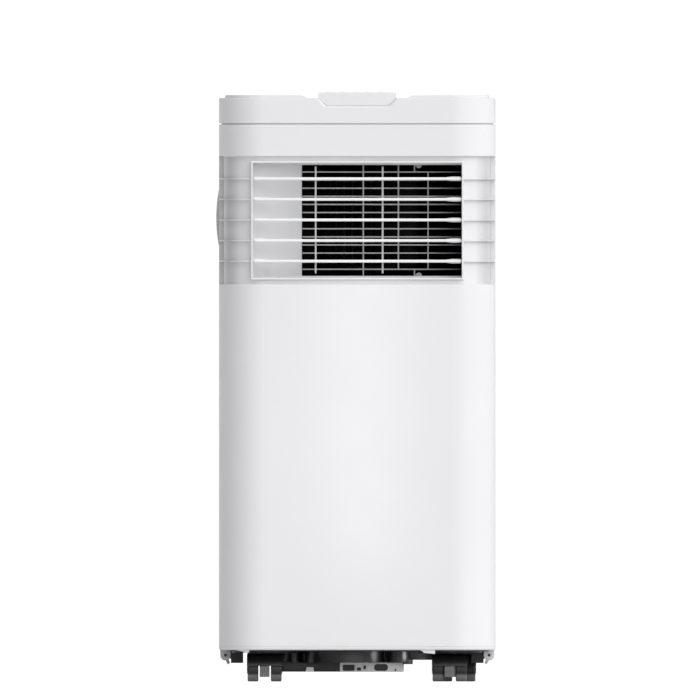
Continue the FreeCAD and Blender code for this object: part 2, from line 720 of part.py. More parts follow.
def evaporator_scroll():
    """Spiral housing of the upper blower, open to the outlet, on four legs."""
    low, high, skin = OUTLET_Z - THROAT_HALF_H, OUTLET_Z + THROAT_HALF_H, 2.0
    x0, x1, rear = THROAT_X0, THROAT_X1, 82.0
    right_r = 100.0
    left_r = x1 - x0 - right_r
    outer = outline(
        [(x0 - skin, GUARD_Y, 0), (x1 + skin, GUARD_Y, 0),
         (x1 + skin, rear + skin, right_r + skin), (x0 - skin, rear + skin, left_r + skin)]
    )
    inner = outline(
        [(x0, GUARD_Y - 1, 0), (x1, GUARD_Y - 1, 0), (x1, rear, right_r), (x0, rear, left_r)]
    )
    housing = prism(outer, low - skin, high + skin).cut(prism(inner, low, high))
    tongue = prism(outline([(x0, -94, 0), (-47, -62, 2.0), (x0, -30, 0)]), low, high)
    x, y = BLOWER_AT
    eye = rod((x, y, high - 1), (x, y, high + 3), BLOWER_EYE_R)
    shaft_hole = rod((x, y, low - 3), (x, y, low + 1), 12.0)
    legs = [
        rod((lx, ly, DECK_Z + DECK_T), (lx, ly, low - skin + 0.5), 5.0)
        for lx, ly in ((-54, -70), (108, -70), (-54, 10), (108, 10))
    ]
    return cut(fuse(housing, tongue, *legs), eye, shaft_hole)


def condenser_scroll():
    """Spiral housing of the lower blower, open at the back to the exhaust collar."""
    low, high, skin = EXHAUST_Z - 68.0, EXHAUST_Z + 68.0, 2.0
    half, front, rear = 83.0, -108.0, EXHAUST_REAR_Y - skin
    left_r = 80.0
    right_r = 2 * half - left_r
    outer = outline(
        [(-half - skin, rear + skin, 0), (-half - skin, front - skin, left_r + skin),
         (half + skin, front - skin, right_r + skin), (half + skin, rear + skin, 0)]
    )
    inner = outline(
        [(-half, rear, 0), (-half, front, left_r), (half, front, right_r), (half, rear, 0)]
    )
    housing = prism(outer, low - skin, high + skin).cut(prism(inner, low, high))
    x, y = BLOWER_AT
    eye = rod((x, y, low - 3), (x, y, low + 1), BLOWER_EYE_R)
    port = rod((0, rear - 1, EXHAUST_Z), (0, rear + 5, EXHAUST_Z), EXHAUST_R)
    return cut(housing, eye, port)


def exhaust_collar():
    """Round socket in the back that a warm-air hose fits into."""
    outer_y = REAR_Y + 3
    flange = rod((0, REAR_Y, EXHAUST_Z), (0, outer_y, EXHAUST_Z), EXHAUST_HOLE_R + 9)
    flange = flange.makeFillet(
        1.4, [e for e in flange.Edges if e.BoundBox.YMin > outer_y - 0.1]
    )
    tube = rod((0, EXHAUST_REAR_Y, EXHAUST_Z), (0, outer_y, EXHAUST_Z), EXHAUST_HOLE_R - 0.5)
    bore = rod((0, EXHAUST_REAR_Y - 1, EXHAUST_Z), (0, outer_y + 1, EXHAUST_Z), EXHAUST_R)
    return cut(fuse(flange, tube), bore)


def mid_deck():
    """Tray between the cold and warm halves, which also catches the evaporator's water."""
    inset = SHELL_T + 0.3
    plate = prism(body_plan(inset), DECK_Z, DECK_Z + DECK_T)
    rim = wall(inset, inset + 2, DECK_Z, DECK_Z + 16)
    pipe_gap = block((126, 153), (30, 76), (DECK_Z - 1, DECK_Z + 20))
    port_x, port_z = DRAIN_PORTS["upper_drain_plug"]
    port_gap = block((port_x - 10, port_x + 10), (120, 140), (DECK_Z + 4, port_z + 12))
    return cut(fuse(plate, rim), pipe_gap, port_gap)


# ---- refrigeration -----------------------------------------------------------------------

COIL_Y = (90.0, 114.0)
COIL_HALF_W = 100.0


def coil(z0, z1):
    """Finned heat exchanger: fin pack, two end plates and the return bends beside them."""
    pack = block((-COIL_HALF_W + 6, COIL_HALF_W - 6), COIL_Y, (z0, z1))
    plates = [
        block((x, x + 1.5), (COIL_Y[0] - 1, COIL_Y[1] + 1), (z0, z1))
        for x in (-COIL_HALF_W + 4.5, COIL_HALF_W - 6)
    ]
    bends = []
    pitch, tube_r, bend_r = 21.0, 3.5, 6.0
    count = int((z1 - z0 - pitch) // pitch)
    middle_y = sum(COIL_Y) / 2
    for i in range(count):
        z = z0 + pitch * (i + 1)
        for x, turn in ((COIL_HALF_W - 4.5, -90), (-COIL_HALF_W + 4.5, 90)):
            ring = Part.makeTorus(bend_r, tube_r, Vector(), Z_AXIS, 0, 360, 180)
            ring = ring.rotated(Vector(), Z_AXIS, turn).rotated(Vector(), Vector(1, 0, 0), 90)
            bends.append(ring.translated(Vector(x, middle_y, z)))
    return Part.makeCompound([pack, *plates, *bends])


COMPRESSOR_AT = (-45.0, -40.0)
COMPRESSOR_R = 50.0


def compressor():
    """Hermetic rotary compressor on a three-legged plate, with its suction accumulator."""
    x, y = COMPRESSOR_AT
    can = rod((x, y, 58), (x, y, 212), COMPRESSOR_R)
    can = can.makeFillet(16.0, [e for e in can.Edges if e.BoundBox.ZLength < 0.1])
    plate = rod((x, y, 55), (x, y, 60), 40)
    lugs = []
    for i in range(3):
        angle = math.radians(90 + 120 * i)
        foot = (x + 58 * math.cos(angle), y + 58 * math.sin(angle))
        lugs.append(rod((*foot, 55), (*foot, 58), 13))
        arm = block((0, 58), (-13, 13), (55, 58))
        lugs.append(arm.rotated(Vector(), Z_AXIS, 90 + 120 * i).translated(Vector(x, y, 0)))
    holes = [rod((*foot, 50), (*foot, 62), 6.0) for foot in compressor_feet()]
    terminal = rod((x - 15, y, 208), (x - 15, y, 222), 14)
    body = cut(fuse(can, plate, *lugs), *holes)
    tank_x = x + COMPRESSOR_R + 26
    tank = rod((tank_x, y, 90), (tank_x, y, 190), 20)
    tank = tank.makeFillet(9.0, [e for e in tank.Edges if e.BoundBox.ZLength < 0.1])
    strap = block((x + COMPRESSOR_R - 4, tank_x - 15), (y - 6, y + 6), (140, 156))
    return fuse(body, terminal, tank, strap)


def compressor_feet():
    x, y = COMPRESSOR_AT
    angles = [math.radians(90 + 120 * i) for i in range(3)]
    return [(x + 58 * math.cos(a), y + 58 * math.sin(a)) for a in angles]


def compressor_grommets():
    """Rubber feet that pass through the compressor's plate, each with a waist."""
    feet = []
    for foot in compressor_feet():
        lower = rod((*foot, PAN_Z1), (*foot, 55), 11)
        waist = rod((*foot, 54), (*foot, 59), 5.9)
        upper = rod((*foot, 58), (*foot, 63), 9)
        feet.append(fuse(lower, waist, upper))
    return Part.makeCompound(feet)


def tube(points, radius):
    """Round bar along straight runs joined by tangent bends of three radii."""
    bend = radius * 3
    places = [Vector(*p) for p in points]
    edges = []
    last = places[0]
    for i in range(1, len(places) - 1):
        here = places[i]
        back = (places[i - 1] - here).normalize()
        ahead = (places[i + 1] - here).normalize()
        half = back.getAngle(ahead) / 2
        reach = bend / math.tan(half)
        start, end = here + back * reach, here + ahead * reach
        middle = here + (back + ahead).normalize() * (bend / math.sin(half) - bend)
        edges.append(Part.makeLine(last, start))
        edges.append(Part.Arc(start, middle, end).toShape())
        last = end
    edges.append(Part.makeLine(last, places[-1]))
    path = Part.Wire(edges)
    profile = Part.Wire(Part.makeCircle(radius, places[0], places[1] - places[0]))
    return path.makePipeShell([profile], True, False)


def refrigerant_pipes():
    """Copper discharge, liquid and suction lines."""
    x, y = COMPRESSOR_AT
    discharge = tube(
        [(x + 25, y, 212), (x + 25, y, 236), (x + 25, 70, 236), (60, 70, 236), (60, 70, 150),
         (60, 90, 150)],
        4.0,
    )
    liquid = tube(
        [(86, 90, 80), (86, 66, 80), (134, 66, 80), (134, 66, 450), (86, 66, 450), (86, 90, 450)],
        3.0,
    )
    tank_x = x + COMPRESSOR_R + 26
    suction = tube(
        [(tank_x, y, 190), (tank_x, y, 220), (100, y, 220), (100, 44, 220), (143, 44, 220),
         (143, 44, 424), (70, 44, 424), (70, 90, 424)],
        4.0,
    )
    return Part.makeCompound([discharge, liquid, suction])


def control_box():
    """Steel box that holds the power electronics, with its lid."""
    box = block((8, 94), (-126, -96), (PAN_Z1, 173))
    hollow = block((10, 92), (-124, -90), (PAN_Z1 + 2, 171))
    lid = block((6, 96), (-96, -94), (PAN_Z1, 175))
    return fuse(box.cut(hollow), lid)


# ---- base, casters and small parts -------------------------------------------------------


DRUM_Z = 21.8  # underside of the round bulges


def side_lug():
    """Right-hand block of the base that the housing's tab is screwed to."""
    x, z = TAB_HOLE
    y0, y1 = SPLIT_Y + 3, SPLIT_Y + 24
    deep = block((132, 146.2), (y0, y1), (21.4, PAN_Z0 + 1))
    behind_tab = block((146, x), (y0, y1), (z - 4, PAN_Z0 + 1))
    return fuse(deep, behind_tab, rod((x, y0, z), (x, y1, z), 4.0))


def tab_slots():
    """Notches in the right-hand edge of the base for the housing's tab and fin."""
    depths = [(SPLIT_Y - 0.3, SPLIT_Y + 3.3), (SPLIT_Y + 24.7, SPLIT_Y + 27.8)]
    return [block((146.2, 153.0), depth, (PAN_Z0 - 1, PAN_Z1 + 2)) for depth in depths]


def base_pan():
    """Moulded base: tray, lower slab, caster wells and sockets, and the bulges under it."""
    inset = FLANGE_INSET + 0.6
    tray = prism(body_plan(inset), PAN_Z0, PAN_Z1)
    rim = wall(inset, inset + 2.5, PAN_Z0, 60.0)
    slab = block((-127, 127), (-50, 116), (SLAB_Z, PAN_Z0 + 1))
    top = PAN_Z0 + 1
    lugs = [side_lug(), mirrored(side_lug())]
    bulges = [
        rod((-14, -76, DRUM_Z), (-14, -76, top), 46.0),
        rod((-74, -64, DRUM_Z), (-74, -64, top), 11.0),
        rod((-74, -64, DRUM_Z), (-74, -64, DRUM_Z + 1.6), 13.8),
        rod((-74, -64, 28.6), (-74, -64, 29.8), 12.6),
        rod((-74, -64, 33.2), (-74, -64, top), 13.8),
        rod((47, -84, DRUM_Z), (47, -84, top), 13.0),
        rod((58.5, -84, 20.0), (58.5, -84, 25.0), 5.8),
        block((-88, 54), (-52, 20), (DRUM_Z, top)),
        block((120, 136), (122, 127), (SLAB_Z, top)),
    ]
    sockets, wells, roofs, bores = [], [], [], []
    for x, y in CASTER_AT.values():
        sockets.append(rod((x, y, WELL_Z), (x, y, SOCKET_TOP_Z), 9.0))
        wells.append(rod((x, y, SLAB_Z - 5), (x, y, WELL_Z), WELL_R))
        roofs.append(rod((x, y, WELL_Z), (x, y, top), WELL_R + 2))
        bores.append(rod((x, y, WELL_Z - 1), (x, y, SOCKET_TOP_Z - 1.5), STEM_R + RUNNING))
    for side in (-1, 1):
        x, z = side * TAB_HOLE[0], TAB_HOLE[1]
        bores.append(rod((x, SPLIT_Y + 2, z), (x, SPLIT_Y + 16, z), 1.3))
    for slot in tab_slots():
        bores += [slot, mirrored(slot)]
    for (x, z), radius in ((DRAIN_PORTS["lower_drain_plug"], DRAIN_R + 3.5), (GLAND_AT, 11.0)):
        bores.append(rod((x, 110, z), (x, 140, z), radius))
    roofs = [roof.common(prism(body_plan(inset), WELL_Z, top)) for roof in roofs]
    pan = fuse(tray, rim, slab, *lugs, *bulges)
    return cut(fuse(pan.cut(wells), *roofs, *sockets), *bores)


SUMP = ((-88.0, 54.0), (-66.0, 20.0), (11.3, DRUM_Z))


def drain_sump():
    """Shallow tank that hangs against the base pan's underside, with a drain stub behind."""
    (x0, x1), (y0, y1), (z0, z1) = SUMP
    tank = block((x0, x1), (y0, y1), (z0, z1))
    tank = tank.makeFillet(1.5, [e for e in tank.Edges if e.BoundBox.ZMax < z0 + 0.1])
    hollow = block((x0 + 2, x1 - 2), (y0 + 2, y1 - 2), (z0 + 2, z1 + 1))
    stub = rod((-40, y1 - 2, 16.5), (-40, y1 + 14, 16.5), 4.6)
    bore = rod((-40, y1 - 6, 16.5), (-40, y1 + 15, 16.5), 3.0)
    return cut(fuse(tank.cut(hollow), stub), bore)


def compressor_bracket():
    """Galvanised plate on the sump's front with slots, and a small tie tab beside it."""
    (_, x1), (y0, _), (z0, z1) = SUMP
    plate = block((-20, x1), (y0 - 1.5, y0), (z0 - 0.1, z1))
    plate = plate.makeFillet(1.6, [e for e in plate.Edges if e.BoundBox.YLength > 1])
    low, high = 12.4, 20.2
    slots = [(-17, -3, low, 19.4, 1.6), (-0.5, 4.5, 12.6, 16.2, 1.0), (7, 10, 14, 18.5, 0.8),
             (19.4, 35.6, low, high, 3.6)]
    cuts = [
        along_y(outline([(xa, za, r), (xb, za, r), (xb, zb, r), (xa, zb, r)]), y0 - 2, y0 + 1)
        for xa, xb, za, zb, r in slots
    ]
    cuts.append(rod((44.3, y0 - 2, 13.4), (44.3, y0 + 1, 13.4), 1.2))
    tab_face = outline([(-60, z0 - 0.1, 0), (-50, z0 - 0.1, 0), (-50.8, 16.6, 0), (-58.5, 16.6, 0)])
    return Part.makeCompound([cut(plate, *cuts), along_y(tab_face, y0 - 1.5, y0)])


def caster_yoke(x, y):
    """Twin-wheel caster's hood, with its stem and the two stub axles on its side plates."""
    axle = (y - TRAIL, WHEEL_R)
    hood_x = WHEEL_X1 + CHEEK_GAP + CHEEK_T
    hood = rod((-hood_x, *axle), (hood_x, *axle), WHEEL_R + 2.9)
    gap = rod((-hood_x - 1, *axle), (hood_x + 1, *axle), WHEEL_R + 1.0)
    below = block((-FAR, FAR), (-FAR, FAR), (-FAR, 18.0))
    hood = hood.cut([gap, below])
    half = MIDDLE_HALF_W
    middle = rod((-half, *axle), (half, *axle), WHEEL_R + 1.5)
    middle = middle.cut(block((-FAR, FAR), (-FAR, FAR), (-FAR, 5.2)))
    flat = block((-half, half), (axle[0] - 15.6, axle[0] - 5), (5.2, 20.0))
    collar = rod((0, y, 29), (0, y, WELL_Z - 0.9), 7.0)
    stem_hole = rod((0, y, 20), (0, y, WELL_Z + 1), STEM_R)
    cheeks, pins = [], []
    for side in (-1, 1):
        near, far = side * (hood_x - CHEEK_T), side * hood_x
        cheeks.append(rod((near, *axle), (far, *axle), 5.5))
        cheeks.append(block(sorted((near, far)), (axle[0] - 5.5, axle[0] + 5.5), (WHEEL_R, 31.0)))
        pins.append(rod((side * (WHEEL_X0 + 0.3), *axle), (far, *axle), AXLE_R))
    body = cut(fuse(hood, middle, flat, collar, *cheeks), stem_hole, *pins)
    stem = rod((0, y, 20), (0, y, SOCKET_TOP_Z - 2.5), STEM_R)
    return Part.makeCompound([body, stem, *pins]).translated(Vector(x, 0, 0))


def caster_wheel(x, y, side):
    """One wheel: a rounded tread, a dished outer face and a hub bored for the axle."""
    axle = (y - TRAIL, WHEEL_R)
    inner, outer = side * WHEEL_X0, side * WHEEL_X1
    tread = rod((inner, *axle), (outer, *axle), WHEEL_R)
    tread = tread.makeFillet(1.6, [e for e in tread.Edges if e.BoundBox.XLength < 0.1])
    dish = rod((outer - side * 2, *axle), (outer + side, *axle), WHEEL_R - 3.6)
    hub = rod((outer - side * 3, *axle), (outer - side * 0.4, *axle), 4.5)
    bore = rod((inner - side, *axle), (outer + side, *axle), AXLE_R + RUNNING)
    return cut(fuse(tread.cut(dish), hub), bore).translated(Vector(x, 0, 0))


def grille_frame(window):
    """Removable grille that fills a window in the back: rim, slanted slats and three bars."""
    gap, rim, y0, y1 = 0.4, 7.0, REAR_Y - 9.0, REAR_Y + 0.8
    half = WINDOW_HALF_W - gap
    z0, z1 = window[0] + gap, window[1] - gap
    frame = block((-half, half), (y0, y1), (z0, z1))
    opening = block((-half + rim, half - rim), (y0 - 1, y1 + 1), (z0 + rim, z1 - rim))
    frame = frame.cut(opening)
    pitch = 9.0
    count = int((z1 - z0 - 2 * rim) // pitch)
    first = (z0 + z1) / 2 - (count - 1) / 2 * pitch
    slats = []
    for i in range(count):
        z = first + i * pitch
        face = outline([(y0 + 1, z + 1.6, 0), (y1 - 1, z - 3.4, 0), (y1 - 1, z - 0.9, 0),
                        (y0 + 1, z + 4.1, 0)])
        slats.append(along_x(face, -half + rim - 1, half - rim + 1))
    bars = [
        block((x - 1.5, x + 1.5), (y0, y1 - 2), (z0 + rim - 1, z1 - rim + 1))
        for x in (-half / 2, 0, half / 2)
    ]
    return fuse(frame, *slats, *bars)


def filter_mesh(window):
    """Thin washable filter that rides on the inside of the upper grille."""
    half = WINDOW_HALF_W - 3.0
    y1 = REAR_Y - 9.0
    return block((-half, half), (y1 - 1.4, y1), (window[0] + 3.0, window[1] - 3.0))


def drain_plug(x, z):
    """Rubber bung with a gripping flange."""
    shank = rod((x, REAR_Y - 10, z), (x, REAR_Y + 2, z), DRAIN_R - 0.3)
    flange = rod((x, REAR_Y + 1.5, z), (x, REAR_Y + 4.5, z), DRAIN_R + 3.2)
    flange = flange.makeFillet(1.0, [e for e in flange.Edges if e.BoundBox.YMin > REAR_Y + 4])
    grip = block((x - 1.5, x + 1.5), (REAR_Y + 4, REAR_Y + 9), (z - 5, z + 5))
    grip = grip.makeFillet(1.2, [e for e in grip.Edges if e.BoundBox.YMin > REAR_Y + 8.9])
    return fuse(shank, flange, grip)


def cord_gland():
    """Rubber bush in the back for a mains lead."""
    x, z = GLAND_AT
    outer = rod((x, REAR_Y, z), (x, REAR_Y + 2.5, z), 10.5)
    outer = outer.makeFillet(1.0, [e for e in outer.Edges if e.BoundBox.YMin > REAR_Y + 2.4])
    shank = rod((x, REAR_Y - 8, z), (x, REAR_Y + 1, z), 7.9)
    inner = rod((x, REAR_Y - 8, z), (x, REAR_Y - SHELL_T, z), 9.6)
    bore = rod((x, REAR_Y - 9, z), (x, REAR_Y + 4, z), 3.6)
    return cut(fuse(outer, shank, inner), bore)


def cord_hooks():
    """Two hooks on the back, facing away from each other, to wind the lead round."""
    hooks = []
    for z, tip in zip(HOOK_ZS, (-1, 1)):
        arm = block((107.5, 121.5), (REAR_Y, REAR_Y + 12), (z - 3, z + 3))
        tip_z = sorted((z, z + tip * 16))
        lip = block((107.5, 121.5), (REAR_Y + 8, REAR_Y + 12), tip_z)
        hook = fuse(arm, lip)
        outer = [e for e in hook.Edges if e.BoundBox.YMin > REAR_Y + 11.9 and e.BoundBox.ZLength < 1]
        hooks.append(hook.makeFillet(1.5, outer))
    return Part.makeCompound(hooks)


def housing_screws():
    """Screws in the two front tabs and eight in the back of the housing."""
    screws = []
    for side in (-1, 1):
        x, z = side * TAB_HOLE[0], TAB_HOLE[1]
        screws.append(rod((x, SPLIT_Y + 0.8, z), (x, SPLIT_Y + 3, z), TAB_HOLE_R))
        screws.append(rod((x, SPLIT_Y + 3, z), (x, SPLIT_Y + 15, z), 1.3))
    for x in (-116.0, 116.0):
        for z in (88.0, 245.0, 418.0, 628.0):
            head = rod((x, REAR_Y, z), (x, REAR_Y + 2.0, z), 3.8)
            head = head.makeFillet(
                1.2, [e for e in head.Edges if e.BoundBox.YMin > REAR_Y + 1.9]
            )
            slots = [
                block((x - 2.2, x + 2.2), (REAR_Y + 1.0, REAR_Y + 3), (z - 0.4, z + 0.4)),
                block((x - 0.4, x + 0.4), (REAR_Y + 1.0, REAR_Y + 3), (z - 2.2, z + 2.2)),
            ]
            screws.append(cut(head, *slots))
    return Part.makeCompound(screws)


# ---- the assembly ------------------------------------------------------------------------


def assembly():
    """Every node's name and shape."""
    nodes = {
        "base_pan": base_pan(),
        "front_panel": front_panel(),
        "upper_fascia": upper_fascia(),
        "outlet_surround": outlet_surround(),
        "outlet_duct": outlet_duct(),
        "outlet_guard": outlet_guard(),
        "top_cover": top_cover(),
        "control_panel": control_panel(),
        "display_lens": display_lens(),
        "control_board": control_board(),
        "rear_housing": rear_housing(),
        "exhaust_collar": exhaust_collar(),
        "side_handle_right": side_handle(inner_flange()),
        "side_handle_left": mirrored(side_handle(domed_rim())),
        "mid_deck": mid_deck(),
        "cord_gland": cord_gland(),
        "cord_hooks": cord_hooks(),
        "housing_screws": housing_screws(),
        "drain_sump": drain_sump(),
        "compressor_bracket": compressor_bracket(),
        "evaporator_coil": coil(DECK_Z + DECK_T, 620.0),
        "condenser_coil": coil(PAN_Z1, 240.0),
        "evaporator_scroll": evaporator_scroll(),
        "condenser_scroll": condenser_scroll(),
        "evaporator_blower": blower_wheel(478.0, 105.0, (432.0, 492.0), plate_on_top=False),
        "condenser_blower": blower_wheel(258.0, 66.0, (312.0, 352.0), plate_on_top=True),
        "evaporator_motor": blower_motor(DECK_Z + DECK_T, 450.0, mouth_up=True),
        "condenser_motor": blower_motor(336.0, 386.0, mouth_up=False),
        "compressor": compressor(),
        "compressor_grommets": compressor_grommets(),
        "refrigerant_pipes": refrigerant_pipes(),
        "control_box": control_box(),
        "link_bars": link_bars(),
        "upper_grille": grille_frame(UPPER_WINDOW),
        "upper_filter_mesh": filter_mesh(UPPER_WINDOW),
        "lower_grille": grille_frame(LOWER_WINDOW),
    }
    for index in range(LOUVRE_COUNT):
        nodes[f"louvre_{index + 1}"] = louvre(index)
    for name, x in BUTTONS.items():
        nodes[name] = push_button(x)
    for name, (x, z) in DRAIN_PORTS.items():
        nodes[name] = drain_plug(x, z)
    for corner, (x, y) in CASTER_AT.items():
        nodes[f"caster_{corner}"] = caster_yoke(x, y)
        nodes[f"wheel_{corner}_outer"] = caster_wheel(x, y, math.copysign(1, x))
        nodes[f"wheel_{corner}_inner"] = caster_wheel(x, y, -math.copysign(1, x))
    return nodes


def main():
    os.makedirs("parts", exist_ok=True)
    for name, shape in assembly().items():
        print(name, "valid" if shape.isValid() else "INVALID", len(shape.Solids), "solids",
              round(shape.Volume / 1000, 2), "cm3")
        shape.exportStep(f"parts/{name}.step")


main()
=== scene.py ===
"""Looks, light and camera for the portable air conditioner.

Every CAD node keeps its own shape and gets a procedural material. A few printed and lit details
that are too thin for CAD are added on the control panel and ride on the bodies they belong to.
"""

import math

import bmesh
import bpy
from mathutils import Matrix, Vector


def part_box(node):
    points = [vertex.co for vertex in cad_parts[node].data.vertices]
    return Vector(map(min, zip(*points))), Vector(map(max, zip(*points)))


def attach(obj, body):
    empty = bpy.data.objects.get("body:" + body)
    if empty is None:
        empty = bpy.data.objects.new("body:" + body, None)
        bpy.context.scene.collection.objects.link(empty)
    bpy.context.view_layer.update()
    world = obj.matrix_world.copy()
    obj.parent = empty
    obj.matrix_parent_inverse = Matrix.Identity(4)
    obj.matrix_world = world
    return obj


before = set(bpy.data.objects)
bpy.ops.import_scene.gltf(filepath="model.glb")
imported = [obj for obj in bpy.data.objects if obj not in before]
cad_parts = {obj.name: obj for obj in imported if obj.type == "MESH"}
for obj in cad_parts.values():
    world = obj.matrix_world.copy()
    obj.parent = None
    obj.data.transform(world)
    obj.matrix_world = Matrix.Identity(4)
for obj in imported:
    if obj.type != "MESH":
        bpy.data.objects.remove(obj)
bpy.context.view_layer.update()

MM = 0.001

# ---- view --------------------------------------------------------------------------------

CAMERA_PLACE = (-0.0084, -3.0, 0.3836)
VIEW_WIDTH = 0.8101  # metres across the picture

# ---- colours, linear ---------------------------------------------------------------------

CABINET = (0.802, 0.800, 0.818)
BAND = (0.782, 0.780, 0.798)
# the duct's white plastic, paler than the cabinet's as painted light on its shaded walls inside the
# outlet
DUCT_WHITE_PAINTED_LIGHT = (0.880, 0.878, 0.890)
LOUVRE = (0.900, 0.903, 0.908)
LINK = (0.560, 0.562, 0.570)
GRIP = (0.560, 0.566, 0.575)
GUARD = (0.480, 0.485, 0.495)
# black plastic of the fans and scrolls, darker than real black plastic as painted shade deep inside
# the cabinet
PITCH_BLACK_PAINTED_SHADE = (0.004, 0.004, 0.0045)
BASE_BLACK = (0.011, 0.011, 0.012)
CASTER_BLACK = (0.012, 0.012, 0.0135)
# painted light: the caster block's black as it looks lit from the front
BLOCK_PAINTED_LIGHT_GREY = (0.150, 0.152, 0.158)
INK = (0.170, 0.180, 0.190)
ZINC = (0.660, 0.660, 0.670)
SCREW_BLACK = (0.030, 0.030, 0.032)
TANK_BLACK = (0.015, 0.015, 0.016)
MOTOR_GREY = (0.120, 0.125, 0.130)

# ---- places where a material changes, in metres ------------------------------------------

BAND_SHADE_X, BAND_SHADE_REACH = 0.149, 0.013  # painted shade: the band darker where it turns the corners
BLOCK_TOP, BLOCK_HALF_W = 0.0176, 0.0059  # the block between a caster's wheels, painted paler as painted light on its front face
TREAD_SHEEN_FULL_Z, TREAD_SHEEN_NONE_Z = 0.0066, 0.0092  # painted reflection of the floor with rubbed dust: full below, still black above


# ---- material graphs ---------------------------------------------------------------------


class Graph:
    """One material's node tree, with short calls for the nodes it is built from."""

    def __init__(self, name, material=None):
        """Starts a new material, or goes on with one that is already built."""
        self.material = material or bpy.data.materials.new(name)
        self.material.use_nodes = True
        self.tree = self.material.node_tree
        self.shader = self.tree.nodes["Principled BSDF"]
        self.coords = self.add("ShaderNodeTexCoord").outputs["Object"]

    def add(self, kind, inputs=None, **settings):
        node = self.tree.nodes.new(kind)
        for key, value in settings.items():
            setattr(node, key, value)
        for key, value in (inputs or {}).items():
            self.feed(node.inputs[key], value)
        return node

    def feed(self, socket, value):
        if isinstance(value, bpy.types.NodeSocket):
            self.tree.links.new(value, socket)
        else:
            socket.default_value = value

    def set(self, **values):
        """Constants and links on the shader, with underscores for spaces."""
        for key, value in values.items():
            self.feed(self.shader.inputs[key.replace("_", " ")], value)

    def noise(self, scale, detail=2.0, stretch=(1, 1, 1)):
        place = self.add("ShaderNodeMapping", {"Vector": self.coords, "Scale": stretch})
        inputs = {"Vector": place.outputs["Vector"], "Scale": scale, "Detail": detail}
        return self.add("ShaderNodeTexNoise", inputs).outputs["Fac"]

    def cells(self, scale, output="Distance"):
        inputs = {"Vector": self.coords, "Scale": scale}
        return self.add("ShaderNodeTexVoronoi", inputs).outputs[output]

    def waves(self, scale, direction, profile="SIN"):
        inputs = {"Vector": self.coords, "Scale": scale, "Distortion": 0.0}
        node = self.add("ShaderNodeTexWave", inputs, bands_direction=direction,
                        wave_profile=profile)
        return node.outputs["Fac"]

    def remap(self, value, source, target):
        inputs = {"Value": value, "From Min": source[0], "From Max": source[1],
                  "To Min": target[0], "To Max": target[1]}
        return self.add("ShaderNodeMapRange", inputs).outputs["Result"]

    def math(self, operation, a, b):
        return self.add("ShaderNodeMath", {0: a, 1: b}, operation=operation).outputs["Value"]

    def mix(self, factor, a, b):
        """Colour between a and b. Colours are (r, g, b) or sockets."""
        node = self.add("ShaderNodeMix", data_type="RGBA")
        self.feed(node.inputs[0], factor)
        self.feed(node.inputs[6], a if isinstance(a, bpy.types.NodeSocket) else (*a, 1))
        self.feed(node.inputs[7], b if isinstance(b, bpy.types.NodeSocket) else (*b, 1))
        return node.outputs[2]

    def rounded(self, radius):
        """Normal as if the edges were rounded, and a mask that is 1 along them."""
        bevel = self.add("ShaderNodeBevel", {"Radius": radius}, samples=4).outputs["Normal"]
        normal = self.add("ShaderNodeNewGeometry").outputs["Normal"]
        dot = self.add("ShaderNodeVectorMath", {0: bevel, 1: normal}, operation="DOT_PRODUCT")
        return bevel, self.remap(dot.outputs["Value"], (1.0, 0.86), (0.0, 1.0))

    def place(self, axis):
        """The point's own coordinate along X, Y or Z."""
        return self.add("ShaderNodeSeparateXYZ", {"Vector": self.coords}).outputs[axis]

    def cover(self, factor, color):
        """Mixes a colour over whatever feeds the shader's base colour."""
        base = self.shader.inputs["Base Color"]
        under = base.links[0].from_socket
        self.feed(base, self.mix(factor, under, color))

    def bump(self, height, distance, normal=None):
        inputs = {"Height": height, "Distance": distance, "Strength": 1.0}
        if normal is not None:
            inputs["Normal"] = normal
        return self.add("ShaderNodeBump", inputs).outputs["Normal"]


def shade(color, factor):
    return tuple(min(1.0, c * factor) for c in color)


def moulded(name, color, roughness, grain=1600, depth=4e-6, edge=0.0005, wear=1.04, drift=0.02):
    """Injection-moulded plastic: spark-eroded grain, slow tone drift and softened, rubbed edges."""
    g = Graph(name)
    bevel, rim = g.rounded(edge)
    slow = g.remap(g.noise(7, 3), (0.3, 0.7), (0.0, 1.0))
    fine = g.noise(grain, 2)
    body = g.mix(slow, shade(color, 1 - drift), shade(color, 1 + drift))
    speck = g.remap(fine, (0.25, 0.75), (0.0, 1.0))
    body = g.mix(g.math("MULTIPLY", speck, 0.12), body, shade(color, 0.93))
    handled = g.math("MULTIPLY", rim, g.remap(g.noise(90, 3), (0.35, 0.65), (0.2, 1.0)))
    g.set(Base_Color=g.mix(handled, body, shade(color, wear)))
    smudge = g.remap(g.noise(26, 4), (0.35, 0.7), (roughness - 0.015, roughness + 0.03))
    g.set(Roughness=g.math("SUBTRACT", smudge, g.math("MULTIPLY", handled, 0.08)))
    swell = g.bump(g.noise(14, 1), 5e-6, bevel)
    g.set(Normal=g.bump(fine, depth, swell))
    g.set(IOR=1.5)
    return g.material


def dulled(material, specular):
    """The same material with weaker reflections."""
    Graph(material.name, material).set(Specular_IOR_Level=specular)
    return material


def cabinet_plastic():
    return moulded("cabinet_plastic", CABINET, 0.36, grain=1900, depth=3e-6, edge=0.0008, drift=0.01)


def band_plastic_painted_shade():
    """The outlet band: the cabinet's plastic, with painted shade where it turns the corners."""
    plain = moulded("band_plastic_painted_shade", BAND, 0.34, grain=1900, depth=3e-6, edge=0.0006)
    g = Graph("band_plastic_painted_shade", plain)
    across = g.math("ABSOLUTE", g.place("X"), 0)
    off = g.math("ABSOLUTE", g.math("SUBTRACT", across, BAND_SHADE_X), 0)
    # painted shade: down to half the band's tone at each corner turn, fading out within the reach
    # either side
    g.cover(g.remap(off, (BAND_SHADE_REACH, 0.0), (0.0, 0.5)), shade(BAND, 0.5))
    return g.material


